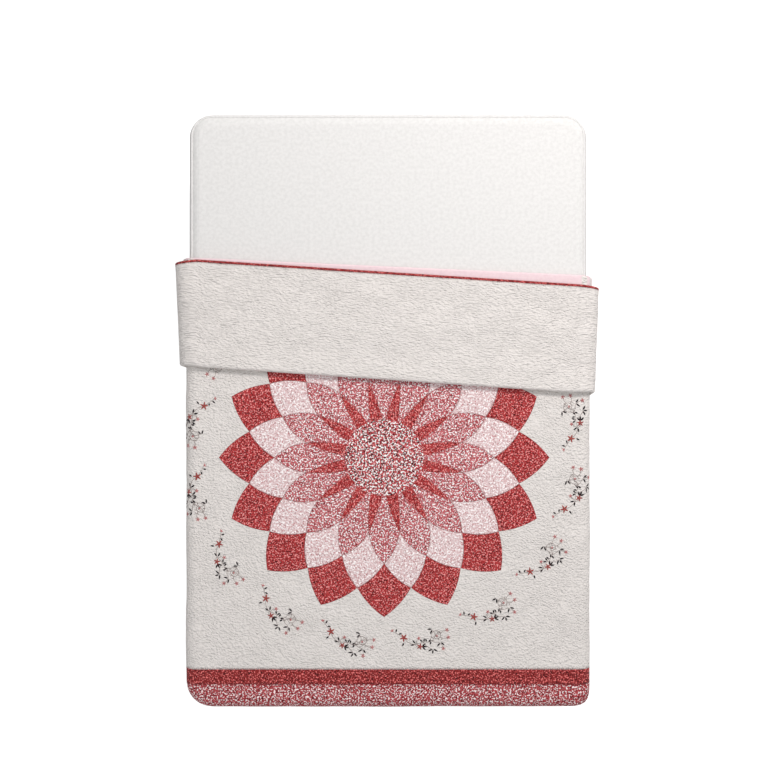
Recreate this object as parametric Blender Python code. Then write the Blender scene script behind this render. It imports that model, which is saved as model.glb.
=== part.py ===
"""A quilted bedspread laid over a plain mattress on a plain base, its head end folded back on itself twice.

Metres, +Z up. X runs across the bed and Y towards its head. The origin is on the floor, under the bed's middle.
The cloth is laid out flat in bed coordinates, as if the bed's top went on for ever, and drape() then hangs what
lies beyond the mattress down its sides, in the folds of the table FOLDS.
"""

import math
from typing import NamedTuple

import bmesh
import bpy

# The bed
MATTRESS_WIDTH = 1.372
MATTRESS_LENGTH = 2.032
MATTRESS_HEIGHT = 0.290
MATTRESS_CORNER = 0.080
MATTRESS_EDGE = 0.046
BASE_HEIGHT = 0.310
BASE_INSET = 0.012
BASE_CORNER = 0.070
BASE_EDGE = 0.006
PIECE_GAP = 0.0003
BED_TOP = BASE_HEIGHT + PIECE_GAP + MATTRESS_HEIGHT

# The bedspread as cut, and where its middle lies on the bed
SPREAD_WIDTH = 2.438
SPREAD_LENGTH = 2.794
SPREAD_MIDDLE = (-0.013, -0.165)
BACKING_THICKNESS = 0.0012
TOP_THICKNESS = 0.0035
BINDING_WIDTH = 0.009
BINDING_GAP = 0.0006
BINDING_PROUD = 0.0005
CLOTH_THICKNESS = BACKING_THICKNESS + PIECE_GAP + TOP_THICKNESS
MID_HEIGHT = PIECE_GAP + BINDING_PROUD + CLOTH_THICKNESS / 2

# How the cloth goes over the mattress's edge
TURN_IN = 0.090  # from the side of the mattress in to the line where the corners' fans start
BEND = 0.034  # radius of the cloth's underside over the edge
SIDE_CLEARANCE = 0.0017
INSET_X = MATTRESS_WIDTH / 2 - TURN_IN
INSET_Y = MATTRESS_LENGTH / 2 - TURN_IN
FLAT_RUN = TURN_IN - BEND
BEND_RUN = math.pi / 2 * (BEND + MID_HEIGHT)
CORNER_RUN = 0.25  # how much of FOLDS' first column one corner takes up
FAN_SHARE = 0.7
FAN_RUN = FLAT_RUN * FAN_SHARE  # where a corner's diagonal meets the edge

# The bands that are pieced in across the foot, as distances below the line INSET_Y (above it where negative)
STRIPE_TOP = -0.038
STRIPE_END = 0.014
BAND_END = 0.198

# The turned-back end: two folds and the free edge, each a line across the bed that slants a little
LAYER_PITCH = 0.009
FRONT_FOLD_RADIUS = 0.008
FOLD_DIP = 0.001  # how far the layer under the front fold dips
FRONT_FOLD_Y = 0.102
FLAP_WIDTH = 0.365
FRONT_SLANT = -0.068
FREE_SLANT = -0.065
BACK_SLANT = -0.045
FOLD_END_ROUNDING = 0.006
FLAP_SETTLES_IN = 0.090


class Side(NamedTuple):
    """How the cloth goes over one side of the bed, where the two sides differ."""

    squareness: float  # of the foot corner in plan, 2 for a quarter circle
    layer_pitch: float  # of the folded layers, where they hang
    front_fold_radius: float
    stands_off: float  # of the flap's free edge, over its front fold
    lean: float  # of the flap's free edge towards the foot, at the hem


LEFT = Side(squareness=2.3, layer_pitch=0.0115, front_fold_radius=0.0060, stands_off=0.016, lean=0.130)
RIGHT = Side(squareness=4.0, layer_pitch=0.0085, front_fold_radius=0.0045, stands_off=0.015, lean=0.060)


def side_at(x):
    return RIGHT if x > 0 else LEFT


class Fold(NamedTuple):
    """One soft fold in the hanging cloth."""

    at: float  # along the mattress's edge from the middle of the foot, the left side negative
    half_width: float
    reach: float  # how far it stands out at the hem
    start: float  # share of the drop above it that hangs straight


FOLDS = [
    Fold(at=-2.05, half_width=0.17, reach=0.016, start=0.10),
    Fold(at=-1.72, half_width=0.14, reach=0.030, start=0.05),
    Fold(at=-1.40, half_width=0.16, reach=0.018, start=0.15),
    Fold(at=-1.12, half_width=0.13, reach=0.034, start=0.00),
    Fold(at=-0.800, half_width=0.090, reach=0.046, start=0.00),
    Fold(at=-0.710, half_width=0.190, reach=0.040, start=0.00),
    Fold(at=-0.655, half_width=0.085, reach=0.070, start=0.04),
    Fold(at=-0.36, half_width=0.15, reach=0.026, start=0.10),
    Fold(at=-0.06, half_width=0.14, reach=0.014, start=0.20),
    Fold(at=0.25, half_width=0.16, reach=0.030, start=0.05),
    Fold(at=0.660, half_width=0.092, reach=0.080, start=0.00),
    Fold(at=0.705, half_width=0.190, reach=0.036, start=0.00),
    Fold(at=0.810, half_width=0.080, reach=0.044, start=0.06),
    Fold(at=1.06, half_width=0.13, reach=0.022, start=0.10),
    Fold(at=1.38, half_width=0.17, reach=0.036, start=0.00),
    Fold(at=1.66, half_width=0.12, reach=0.016, start=0.20),
    Fold(at=1.95, half_width=0.15, reach=0.018, start=0.05),
    Fold(at=2.25, half_width=0.14, reach=0.018, start=0.10),
]
HANG_AWAY = 0.010  # how far the hem stands off the bed between the folds
FOLD_GROWTH = 1.2

# How finely each stretch of cloth is divided
STEPS_ACROSS = 6
STEPS_BEND = 3
STEPS_DROP = 7
STEPS_BAND_DROP = 2
STEPS_MAIN = 15
STEPS_BACK_FOLD = 6
STEPS_LAYER = 4
STEPS_FRONT_FOLD = 6
BASE_CORNER_STEPS = 4
BASE_EDGE_STEPS = 1
MATTRESS_CORNER_STEPS = 6
MATTRESS_EDGE_STEPS = 4


def ease(share):
    share = min(max(share, 0.0), 1.0)
    return share * share * (3 - 2 * share)


def steps(start, end, count):
    """The points after start, up to and with end."""
    return [start + (end - start) * i / count for i in range(1, count + 1)]


def swing(along, share):
    """How far the hanging cloth stands out from the bed at a share of its drop."""
    out = HANG_AWAY * share
    for fold in FOLDS:
        near = (along - fold.at) / fold.half_width
        if abs(near) < 1 and share > fold.start:
            grown = ((share - fold.start) / (1 - fold.start)) ** FOLD_GROWTH
            out += fold.reach * grown * (1 + math.cos(math.pi * near)) / 2
    return out


def hem_distance(x):
    """Flat distance from the inset line to the cloth's side edge, without its binding."""
    shift = SPREAD_MIDDLE[0] if x > 0 else -SPREAD_MIDDLE[0]
    return SPREAD_WIDTH / 2 + shift - INSET_X - BINDING_WIDTH


FOOT_HEM = SPREAD_LENGTH / 2 - (INSET_Y + SPREAD_MIDDLE[1]) - BINDING_WIDTH


def drape(x, y, height):
    """The place in space of the cloth's point (x, y) in bed coordinates, at a height above the mattress."""
    beyond_x = max(abs(x) - INSET_X, 0.0)
    beyond_y = max(-INSET_Y - y, 0.0)
    beyond = math.hypot(beyond_x, beyond_y)
    if beyond == 0.0:
        return (x, y, BED_TOP + height)
    side = math.copysign(1.0, x)
    turned = math.atan2(beyond_x, beyond_y)  # 0 straight over the foot, a right angle straight over the side
    base_x = side * min(abs(x), INSET_X)
    base_y = max(y, -INSET_Y)
    bend = min(max((beyond - FLAT_RUN) / BEND_RUN, 0.0), 1.0) * math.pi / 2
    depth = max(beyond - FLAT_RUN - BEND_RUN, 0.0)
    power = side_at(x).squareness
    stretch = (math.sin(turned) ** power + math.cos(turned) ** power) ** (-1 / power)
    out = stretch * (min(beyond, FLAT_RUN) + (BEND + SIDE_CLEARANCE + height) * math.sin(bend))
    down = BEND - (BEND + height) * math.cos(bend)
    if depth > 0:
        along = abs(base_x) + CORNER_RUN * turned / (math.pi / 2) + (base_y + INSET_Y)
        longest = FOOT_HEM - FLAT_RUN - BEND_RUN
        reach = swing(side * along, 1.0)
        out += swing(side * along, min(depth / longest, 1.0))
        down += depth * (1 - 0.5 * (reach / longest) ** 2)
    return (
        base_x + side * out * math.sin(turned),
        base_y - out * math.cos(turned),
        BED_TOP - down,
    )


def flap_lines(x):
    """Where the back fold, the front fold and the free edge lie at x, as distances along the bed."""
    beyond = max(abs(x) - INSET_X, 0.0)
    hanging = min(max(beyond - FLAT_RUN, 0.0) / hem_distance(x), 1.0)
    rounding = FOLD_END_ROUNDING * ease((beyond - FLAT_RUN / 2) / BEND_RUN)
    lean = side_at(x).lean * hanging
    front = FRONT_FOLD_Y + FRONT_SLANT * x + rounding - lean / 2
    free = FRONT_FOLD_Y + FLAP_WIDTH + FREE_SLANT * x - lean
    turned_over = SPREAD_LENGTH - FOOT_HEM - BINDING_WIDTH - INSET_Y - FLAP_WIDTH
    back = (turned_over + FRONT_FOLD_Y) / 2 + BACK_SLANT * x
    return back, front, free - BINDING_WIDTH


def section(x):
    """The middle line of the folded cloth at x, from the inset line to the free edge, as (y, height) points."""
    beyond = max(abs(x) - INSET_X, 0.0)
    over = ease((beyond - FLAT_RUN) / BEND_RUN)
    side = side_at(x)
    pitch = LAYER_PITCH + (side.layer_pitch - LAYER_PITCH) * over
    front_radius = FRONT_FOLD_RADIUS + (side.front_fold_radius - FRONT_FOLD_RADIUS) * over
    back, front, free = flap_lines(x)
    radius = pitch / 2
    low = MID_HEIGHT + pitch - FOLD_DIP
    high = low + 2 * front_radius
    points = [(-INSET_Y, MID_HEIGHT), (-INSET_Y - STRIPE_TOP, MID_HEIGHT)]
    points += [(y, MID_HEIGHT) for y in steps(-INSET_Y - STRIPE_TOP, back - radius, STEPS_MAIN)]
    for angle in steps(-math.pi / 2, math.pi / 2, STEPS_BACK_FOLD):
        points.append((back - radius + radius * math.cos(angle), MID_HEIGHT + radius + radius * math.sin(angle)))
    for y in steps(back - radius, front + front_radius, STEPS_LAYER):
        near = ease(1 - (y - front) / FLAP_SETTLES_IN)
        points.append((y, MID_HEIGHT + pitch - FOLD_DIP * near))
    for angle in steps(-math.pi / 2, math.pi / 2, STEPS_FRONT_FOLD):
        reach = front_radius * math.cos(angle)
        points.append((front + front_radius - reach, low + front_radius * (1 + math.sin(angle))))
    settled = MID_HEIGHT + 2 * pitch
    for y in steps(front + front_radius, free, STEPS_LAYER):
        near = ease(1 - (y - front) / FLAP_SETTLES_IN)
        lifted = over * side.stands_off * (y - front) / FLAP_WIDTH
        points.append((y, settled + (high - settled) * near + lifted))
    return points


def offset_section(points, offset):
    """The same line moved to its left by offset, so that a positive offset is towards the cloth's face."""
    moved = []
    last = len(points) - 1
    for i, (y, height) in enumerate(points):
        before, after = points[max(i - 1, 0)], points[min(i + 1, last)]
        run, rise = after[0] - before[0], after[1] - before[1]
        length = math.hypot(run, rise)
        moved.append((y - offset * rise / length, height + offset * run / length))
    return moved


def columns_beyond(hem):
    """Distances from the inset line out to a side edge, from the outside in."""
    inner = [0.0, FAN_RUN, FLAT_RUN, *steps(FLAT_RUN, FLAT_RUN + BEND_RUN, STEPS_BEND)]
    return [*inner, *steps(inner[-1], hem, STEPS_DROP)][::-1]


def rows_beyond():
    """Distances from the inset line down to the foot edge, from the outside in, with a row at each band's seam."""
    inner = [0.0, STRIPE_END, FAN_RUN, FLAT_RUN, *steps(FLAT_RUN, FLAT_RUN + BEND_RUN, STEPS_BEND)]
    band = steps(inner[-1], BAND_END, STEPS_BAND_DROP)
    return [*inner, *band, *steps(BAND_END, FOOT_HEM, STEPS_DROP - 1)][::-1]


def flat_foot_point(x, row):
    """The flat place of a point of the foot's rows. Beyond the corner the rows are drawn in to a rounded corner."""
    beyond_x = max(abs(x) - INSET_X, 0.0)
    side = math.copysign(1.0, x)
    widest = hem_distance(x)
    diagonal = math.sqrt(0.5)
    free_share = max(row - BAND_END, 0.0) / (FOOT_HEM - BAND_END)
    edge_y = min(row, BAND_END) + free_share * (diagonal * FOOT_HEM - BAND_END)
    drawn_x = beyond_x * math.sqrt(1 - (edge_y / FOOT_HEM) ** 2)
    top_y = FOOT_HEM * math.sqrt(1 - (diagonal * beyond_x / widest) ** 2)
    drawn_y = min(row, BAND_END) + free_share * (top_y - BAND_END)
    return side * (min(abs(x), INSET_X) + drawn_x), -INSET_Y - drawn_y


def all_columns():
    left = [-(INSET_X + d) for d in columns_beyond(hem_distance(-1))]
    right = [INSET_X + d for d in columns_beyond(hem_distance(1))][::-1]
    return [*left, *steps(-INSET_X, INSET_X, STEPS_ACROSS)[:-1], *right]


def surface(offset):
    """The whole cloth's grid of points at an offset from its middle: rows from the foot hem to the free edge."""
    columns = all_columns()
    rows = [[drape(*flat_foot_point(x, row), MID_HEIGHT + offset) for x in columns] for row in rows_beyond()[:-1]]
    lines = [offset_section(section(x), offset) for x in columns]
    for i in range(len(lines[0])):
        rows.append([drape(x, *line[i]) for x, line in zip(columns, lines)])
    return rows


def clear_scene():
    for thing in list(bpy.data.objects):
        bpy.data.objects.remove(thing, do_unlink=True)


def plain_material(name, colour, roughness):
    material = bpy.data.materials.new(name)
    material.use_nodes = True
    shader = material.node_tree.nodes["Principled BSDF"]
    shader.inputs["Base Color"].default_value = (*colour, 1.0)
    shader.inputs["Roughness"].default_value = roughness
    shader.inputs["Metallic"].default_value = 0.0
    return material


def add_object(name, mesh, material):
    thing = bpy.data.objects.new(name, mesh)
    bpy.context.scene.collection.objects.link(thing)
    mesh.materials.append(material)
    return thing


def closed_mesh(name, points, faces):
    mesh = bpy.data.meshes.new(name)
    mesh.from_pydata(points, [], faces)
    mesh.update()
    mesh.shade_smooth()
    mesh.set_sharp_from_angle(angle=math.radians(50))
    return mesh


def toward(point, other, distance):
    length = math.dist(point, other)
    return tuple(a + (b - a) * distance / length for a, b in zip(point, other))


def trimmed(grid, at_start, at_end):
    """The grid with its first or last row drawn in by half a gap, for the seam with the piece beyond it."""
    rows = [list(row) for row in grid]
    if at_start:
        rows[0] = [toward(a, b, PIECE_GAP / 2) for a, b in zip(rows[0], rows[1])]
    if at_end:
        rows[-1] = [toward(a, b, PIECE_GAP / 2) for a, b in zip(rows[-1], rows[-2])]
    return rows


def sheet_between(name, lower, upper, material):
    """A closed sheet between two grids of the same size, with the same diagonals on both faces."""
    rows, columns = len(lower), len(lower[0])
    count = rows * columns
    points = [p for row in lower for p in row] + [p for row in upper for p in row]
    faces = []
    for i in range(rows - 1):
        for j in range(columns - 1):
            a, b = i * columns + j, i * columns + j + 1
            c, d = b + columns, a + columns
            pair = [(a, b, c), (a, c, d)] if j < columns // 2 else [(a, b, d), (b, c, d)]
            for face in pair:
                faces.append(tuple(count + v for v in face))
                faces.append(face[::-1])
    rim = list(range(columns))
    rim += [i * columns + columns - 1 for i in range(1, rows)]
    rim += [(rows - 1) * columns + j for j in range(columns - 2, -1, -1)]
    rim += [i * columns for i in range(rows - 2, 0, -1)]
    for a, b in zip(rim, rim[1:] + rim[:1]):
        if a < b:
            faces += [(a, b, count + b), (a, count + b, count + a)]
        else:
            faces += [(a, b, count + a), (b, count + b, count + a)]
    return add_object(name, closed_mesh(name, points, faces), material)


def edge_of(grid):
    """The points round a grid, starting at the left foot corner and going right."""
    right = [row[-1] for row in grid[1:]]
    left = [row[0] for row in grid[-2:0:-1]]
    return [*grid[0], *right, *grid[-1][-2::-1], *left]


def binding_ring():
    """The four corners of the binding's section at each point round the cloth's edge."""
    half = CLOTH_THICKNESS / 2 + BINDING_PROUD
    sides = []
    for offset in (-half, half):
        columns = all_columns()
        lines = [offset_section(section(x), offset) for x in columns]
        for distance in (BINDING_GAP, BINDING_WIDTH):
            foot = []
            for row in rows_beyond()[:-1]:
                foot.append([beyond_foot(*flat_foot_point(x, row), distance, offset) for x in columns])
            upper = []
            for i in range(len(lines[0])):
                upper.append([beyond_side(x, *line[i], distance, columns) for x, line in zip(columns, lines)])
            free = []
            for x, line in zip(columns, lines):
                (y0, h0), (y1, h1) = line[-2:]
                length = math.hypot(y1 - y0, h1 - h0)
                y = y1 + (y1 - y0) * distance / length
                height = h1 + (h1 - h0) * distance / length
                free.append(beyond_side(x, y, height, distance, columns))
            sides.append(edge_of([*foot, *upper[:-1], free]))
    return sides


def beyond_foot(x, y, distance, offset):
    """A foot point moved outwards in the flat by distance, then draped."""
    out_x, out_y = max(abs(x) - INSET_X, 0.0), -INSET_Y - y
    length = math.hypot(out_x, out_y)
    return drape(
        x + math.copysign(distance * out_x / length, x),
        y - distance * out_y / length,
        MID_HEIGHT + offset,
    )


def beyond_side(x, y, height, distance, columns):
    """A point of the layers moved outwards by distance where it is on a side edge, then draped."""
    moved = x + math.copysign(distance, x) if x in (columns[0], columns[-1]) else x
    return drape(moved, y, height)


def make_binding(material):
    inner_low, outer_low, inner_high, outer_high = binding_ring()
    loops = [inner_low, outer_low, outer_high, inner_high]
    count = len(inner_low)
    points = [p for loop in loops for p in loop]
    faces = []
    for k in range(4):
        this, after = k * count, (k + 1) % 4 * count
        for i in range(count):
            n = (i + 1) % count
            faces.append((this + n, after + n, after + i, this + i))
    return add_object("binding", closed_mesh("binding", points, faces), material)


def rounded_block(name, size, bottom, corner, edge, steps_corner, steps_edge, material):
    """A block with rounded upright corners, then rounded top and bottom edges."""
    mesh = bpy.data.meshes.new(name)
    bm = bmesh.new()
    bmesh.ops.create_cube(bm, size=1.0)
    for vert in bm.verts:
        vert.co = (
            vert.co.x * size[0],
            vert.co.y * size[1],
            bottom + (vert.co.z + 0.5) * size[2],
        )
    upright = [e for e in bm.edges if abs(e.verts[0].co.z - e.verts[1].co.z) > size[2] / 2]
    bmesh.ops.bevel(
        bm, geom=upright, offset=corner, offset_type="OFFSET", segments=steps_corner, profile=0.5, affect="EDGES"
    )
    level = [e for e in bm.edges if abs(e.verts[0].co.z - e.verts[1].co.z) < size[2] / 2]
    bmesh.ops.bevel(
        bm, geom=level, offset=edge, offset_type="OFFSET", segments=steps_edge, profile=0.5, affect="EDGES"
    )
    bm.to_mesh(mesh)
    bm.free()
    mesh.shade_smooth()
    mesh.set_sharp_from_angle(angle=math.radians(40))
    return add_object(name, mesh, material)


def build_bed():
    ticking = plain_material("mattress_ticking", (0.80, 0.79, 0.76), 0.85)
    cover = plain_material("base_cloth", (0.62, 0.59, 0.55), 0.9)
    width, length = MATTRESS_WIDTH - 2 * BASE_INSET, MATTRESS_LENGTH - 2 * BASE_INSET
    rounded_block(
        "bed_base",
        (width, length, BASE_HEIGHT),
        0.0,
        BASE_CORNER,
        BASE_EDGE,
        BASE_CORNER_STEPS,
        BASE_EDGE_STEPS,
        cover,
    )
    rounded_block(
        "mattress",
        (MATTRESS_WIDTH, MATTRESS_LENGTH, MATTRESS_HEIGHT),
        BASE_HEIGHT + PIECE_GAP,
        MATTRESS_CORNER,
        MATTRESS_EDGE,
        MATTRESS_CORNER_STEPS,
        MATTRESS_EDGE_STEPS,
        ticking,
    )


def build_spread():
    ivory = plain_material("ivory_quilt", (0.75, 0.70, 0.65), 0.9)
    red = plain_material("red_print", (0.40, 0.05, 0.06), 0.85)
    pink = plain_material("pink_print", (0.56, 0.20, 0.22), 0.85)
    pale = plain_material("pale_pink_backing", (0.85, 0.70, 0.71), 0.9)
    below = -CLOTH_THICKNESS / 2
    under, over = surface(below), surface(below + BACKING_THICKNESS)
    sheet_between("backing", under, over, pale)

    lower, upper = surface(below + BACKING_THICKNESS + PIECE_GAP), surface(CLOTH_THICKNESS / 2)
    foot_rows = rows_beyond()
    band_row = foot_rows.index(BAND_END)
    seam_row = foot_rows.index(STRIPE_END)
    stripe_row = len(foot_rows)
    last_row = len(lower) - 1
    panels = [
        ("foot_panel", 0, band_row, ivory),
        ("foot_band", band_row, seam_row, pink),
        ("foot_stripe", seam_row, stripe_row, red),
        ("ground_panel", stripe_row, last_row, ivory),
    ]
    for name, first, last, material in panels:
        trims = (first > 0, last < last_row)
        low = trimmed(lower[first : last + 1], *trims)
        high = trimmed(upper[first : last + 1], *trims)
        sheet_between(name, low, high, material)
    make_binding(red)


clear_scene()
build_bed()
build_spread()
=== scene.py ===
"""A quilted bedspread with a pieced dahlia medallion, turned back at the head of a plain bed.

Metres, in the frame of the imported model: X across the bed, Y towards its head, Z up from the floor.
"""

import math

import bmesh
import bpy
import numpy as np
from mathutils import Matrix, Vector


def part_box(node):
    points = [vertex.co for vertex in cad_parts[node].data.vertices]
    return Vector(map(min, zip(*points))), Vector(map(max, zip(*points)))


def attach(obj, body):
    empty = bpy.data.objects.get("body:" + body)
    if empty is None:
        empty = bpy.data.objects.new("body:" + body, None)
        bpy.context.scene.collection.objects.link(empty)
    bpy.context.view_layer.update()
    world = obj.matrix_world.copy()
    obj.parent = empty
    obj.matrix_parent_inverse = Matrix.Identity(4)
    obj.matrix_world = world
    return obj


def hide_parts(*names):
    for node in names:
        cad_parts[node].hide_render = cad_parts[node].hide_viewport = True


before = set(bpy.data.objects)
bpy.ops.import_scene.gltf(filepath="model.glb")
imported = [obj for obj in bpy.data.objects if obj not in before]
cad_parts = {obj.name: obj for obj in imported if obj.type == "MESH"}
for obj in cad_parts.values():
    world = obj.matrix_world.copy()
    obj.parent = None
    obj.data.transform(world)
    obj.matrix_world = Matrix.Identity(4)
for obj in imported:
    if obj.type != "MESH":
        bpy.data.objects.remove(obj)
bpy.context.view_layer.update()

# The picture: a camera high over the bed, looking straight down, with soft daylight from the upper right.
# Its scale at the top of the cloth comes from the bed's width. The floor and the sky are white to the camera
# alone, and give the cloth less light than that.
BED_LOW, BED_HIGH = (np.array(corner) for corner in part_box("mattress"))
BED_TOP = float(BED_HIGH[2])
MM_PER_PIXEL = 3.42
PICTURE_SIZE = 780
PICTURE_MIDDLE = (0.007, 0.0655)
CAMERA_HEIGHT = 3.6
SENSOR_WIDTH = 36.0
SKY_LIGHT = 0.66
SKY_SEEN = 1.15
FLOOR_SEEN = 0.76
FLOOR_REACH = 60


def link_object(name, data):
    thing = bpy.data.objects.new(name, data)
    bpy.context.scene.collection.objects.link(thing)
    return thing


def mesh_object(name, points, edges=(), faces=()):
    mesh = bpy.data.meshes.new(name)
    mesh.from_pydata([tuple(p) for p in points], edges, faces)
    return link_object(name, mesh)


camera_data = bpy.data.cameras.new("camera")
camera_data.sensor_width = SENSOR_WIDTH
camera_data.lens = SENSOR_WIDTH * CAMERA_HEIGHT / (PICTURE_SIZE * MM_PER_PIXEL / 1000)
camera = link_object("camera", camera_data)
camera.location = (*PICTURE_MIDDLE, BED_TOP + CAMERA_HEIGHT)
bpy.context.scene.camera = camera


def add_area_light(name, place, size, watts, colour):
    """A round light aimed at the middle of the bed's top."""
    light = bpy.data.lights.new(name, "AREA")
    light.shape = "DISK"
    light.size = size
    light.energy = watts
    light.color = colour
    lamp = link_object(name, light)
    direction = np.array((0.0, 0.0, BED_TOP)) - np.array(place)
    flat_run = math.hypot(direction[0], direction[1])
    lamp.location = place
    lamp.rotation_euler = (math.atan2(flat_run, -direction[2]), 0.0, math.atan2(-direction[0], direction[1]))


add_area_light("key", place=(1.6, 3.0, 3.9), size=1.3, watts=136.0, colour=(1.0, 0.965, 0.955))
add_area_light("fill", place=(-3.0, -1.6, 4.6), size=3.6, watts=8.0, colour=(1.0, 0.98, 0.98))


def set_strength(tree, strength, to_others, to_camera):
    """Gives a strength one value for the camera's own rays and another for all the rest."""
    seen = tree.nodes.new("ShaderNodeLightPath")
    chosen = tree.nodes.new("ShaderNodeMapRange")
    chosen.inputs["To Min"].default_value = to_others
    chosen.inputs["To Max"].default_value = to_camera
    tree.links.new(seen.outputs["Is Camera Ray"], chosen.inputs["Value"])
    tree.links.new(chosen.outputs["Result"], strength)


world = bpy.data.worlds.new("studio")
bpy.context.scene.world = world
world.use_nodes = True
sky = world.node_tree.nodes["Background"]
sky.inputs["Color"].default_value = (0.97, 0.98, 1.0, 1.0)
set_strength(world.node_tree, sky.inputs["Strength"], SKY_LIGHT, SKY_SEEN)
bpy.context.scene.view_settings.view_transform = "Standard"
bpy.context.scene.view_settings.look = "None"

floor_corners = [(x * FLOOR_REACH, y * FLOOR_REACH, 0) for x, y in ((-1, -1), (1, -1), (1, 1), (-1, 1))]
floor = mesh_object("floor", floor_corners, faces=[(0, 1, 2, 3)])
floor_material = bpy.data.materials.new("floor")
floor_material.use_nodes = True
floor_shader = floor_material.node_tree.nodes["Principled BSDF"]
floor_shader.inputs["Base Color"].default_value = (0.55, 0.54, 0.53, 1.0)
floor_shader.inputs["Roughness"].default_value = 0.8
floor_shader.inputs["Emission Color"].default_value = (1.0, 1.0, 1.0, 1.0)
set_strength(floor_material.node_tree, floor_shader.inputs["Emission Strength"], 0.0, FLOOR_SEEN)
floor.data.materials.append(floor_material)

# The base: a plain divan under the mattress, a box covered in a coarse oatmeal cloth. Its weave is a shader
# group, which the other plain cloths use too, with its own scale in each.


def new_group(name, kind, inputs, outputs):
    """A Shader or Geometry node group, its inputs given as name: (kind, default where there is one)."""
    group = bpy.data.node_groups.new(name, kind + "NodeTree")
    for label, (socket_kind, *default) in inputs.items():
        socket = group.interface.new_socket(label, in_out="INPUT", socket_type="NodeSocket" + socket_kind)
        if default:
            socket.default_value = default[0]
    for label, socket_kind in outputs.items():
        group.interface.new_socket(label, in_out="OUTPUT", socket_type="NodeSocket" + socket_kind)
    return group, group.nodes.new("NodeGroupInput").outputs, group.nodes.new("NodeGroupOutput")


def feed(tree, node, inputs):
    """Sets a node's inputs, each to a value or to the socket that feeds it."""
    for name, value in inputs.items():
        if isinstance(value, bpy.types.NodeSocket):
            tree.links.new(value, node.inputs[name])
        else:
            node.inputs[name].default_value = value


def add_node(tree, kind, inputs=None, **settings):
    node = tree.nodes.new(kind)
    for name, value in settings.items():
        setattr(node, name, value)
    feed(tree, node, inputs or {})
    return node


def math_node(tree, operation, first, second=0.5):
    return add_node(tree, "ShaderNodeMath", {0: first, 1: second}, operation=operation).outputs[0]


def vector_math(tree, operation, inputs):
    return add_node(tree, "ShaderNodeVectorMath", inputs, operation=operation).outputs[0]


def noise(tree, vector, scale, detail, **others):
    inputs = {"Vector": vector, "Scale": scale, "Detail": detail, **others}
    return add_node(tree, "ShaderNodeTexNoise", inputs)


def map_range(tree, value, low, high, start=0.0, end=1.0):
    inputs = {"Value": value, "From Min": low, "From Max": high, "To Min": start, "To Max": end}
    return add_node(tree, "ShaderNodeMapRange", inputs).outputs["Result"]


def add_bump(tree, height, strength, distance, **normal):
    inputs = {"Strength": strength, "Distance": distance, "Height": height, **normal}
    return add_node(tree, "ShaderNodeBump", inputs).outputs["Normal"]


def two_tones(tree, factor, low, shade, high, colour):
    """A colour ramp from a shade at a low factor to a colour at a high one."""
    node = add_node(tree, "ShaderNodeValToRGB", {"Fac": factor})
    for element, place, tone in zip(node.color_ramp.elements, (low, high), (shade, colour)):
        element.position = place
        element.color = (*tone, 1.0)
    return node.outputs["Color"]


def mix_colour(tree, factor, first, second):
    inputs = {"Factor": factor}
    for index, tone in ((6, first), (7, second)):
        inputs[index] = tone if isinstance(tone, bpy.types.NodeSocket) else (*tone, 1.0)
    return add_node(tree, "ShaderNodeMix", inputs, data_type="RGBA").outputs[2]


def use_group(tree, group, inputs):
    return add_node(tree, "ShaderNodeGroup", inputs, node_tree=group).outputs


def make_weave_group():
    inputs = {"Vector": ("Vector",), "Threads": ("Float", 900.0)}
    group, source, result = new_group("plain weave", "Shader", inputs, {"Height": "Float", "Slub": "Float"})
    scaled = vector_math(group, "SCALE", {0: source["Vector"], "Scale": source["Threads"]})
    parts = add_node(group, "ShaderNodeSeparateXYZ", {0: scaled})
    across, along, upright = (math_node(group, "SINE", parts.outputs[axis]) for axis in "XYZ")
    woven = math_node(group, "ADD", math_node(group, "MULTIPLY", across, along), upright)
    slub = noise(group, source["Vector"], scale=90.0, detail=3.0)
    feed(group, result, {"Height": woven, "Slub": slub.outputs["Fac"]})
    return group


weave_group = make_weave_group()


def new_material(name, roughness, sheen=0.0):
    material = bpy.data.materials.new(name)
    material.use_nodes = True
    tree = material.node_tree
    shader = tree.nodes["Principled BSDF"]
    finish = {"Roughness": roughness, "Metallic": 0.0, "Specular IOR Level": 0.2, "Sheen Weight": sheen}
    feed(tree, shader, finish)
    return material, tree, shader


def woven_cloth(name, coordinates, colour, shade, threads, depth, roughness):
    """A plain woven cloth whose colour drifts between two close tones along its slubs."""
    material, tree, shader = new_material(name, roughness)
    place = add_node(tree, "ShaderNodeTexCoord").outputs[coordinates]
    weave = use_group(tree, weave_group, {"Threads": threads, "Vector": place})
    tone = two_tones(tree, weave["Slub"], 0.35, shade, 0.62, colour)
    relief = add_bump(tree, weave["Height"], strength=0.6, distance=depth)
    feed(tree, shader, {"Base Color": tone, "Normal": relief})
    return material


base = bpy.data.objects["bed_base"]
base.data.materials.clear()
OATMEAL = ((0.56, 0.53, 0.49), (0.47, 0.44, 0.40))
base_cloth = woven_cloth("base_cloth", "Object", *OATMEAL, threads=1500.0, depth=0.0006, roughness=0.95)
base.data.materials.append(base_cloth)

# The mattress: a padded block in a plain white cover, with a taped seam round its top and bottom edges. The
# tapes are round cords bent along the seams.
MATTRESS_CORNER = 0.080
MATTRESS_EDGE = 0.046
TAPE_RADIUS = 0.0045
MATTRESS_CORNER_STEPS = 12
MATTRESS_EDGE_STEPS = 8
MATTRESS_SHARP = math.radians(35)
TAPE_SIDES = 8


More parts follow.
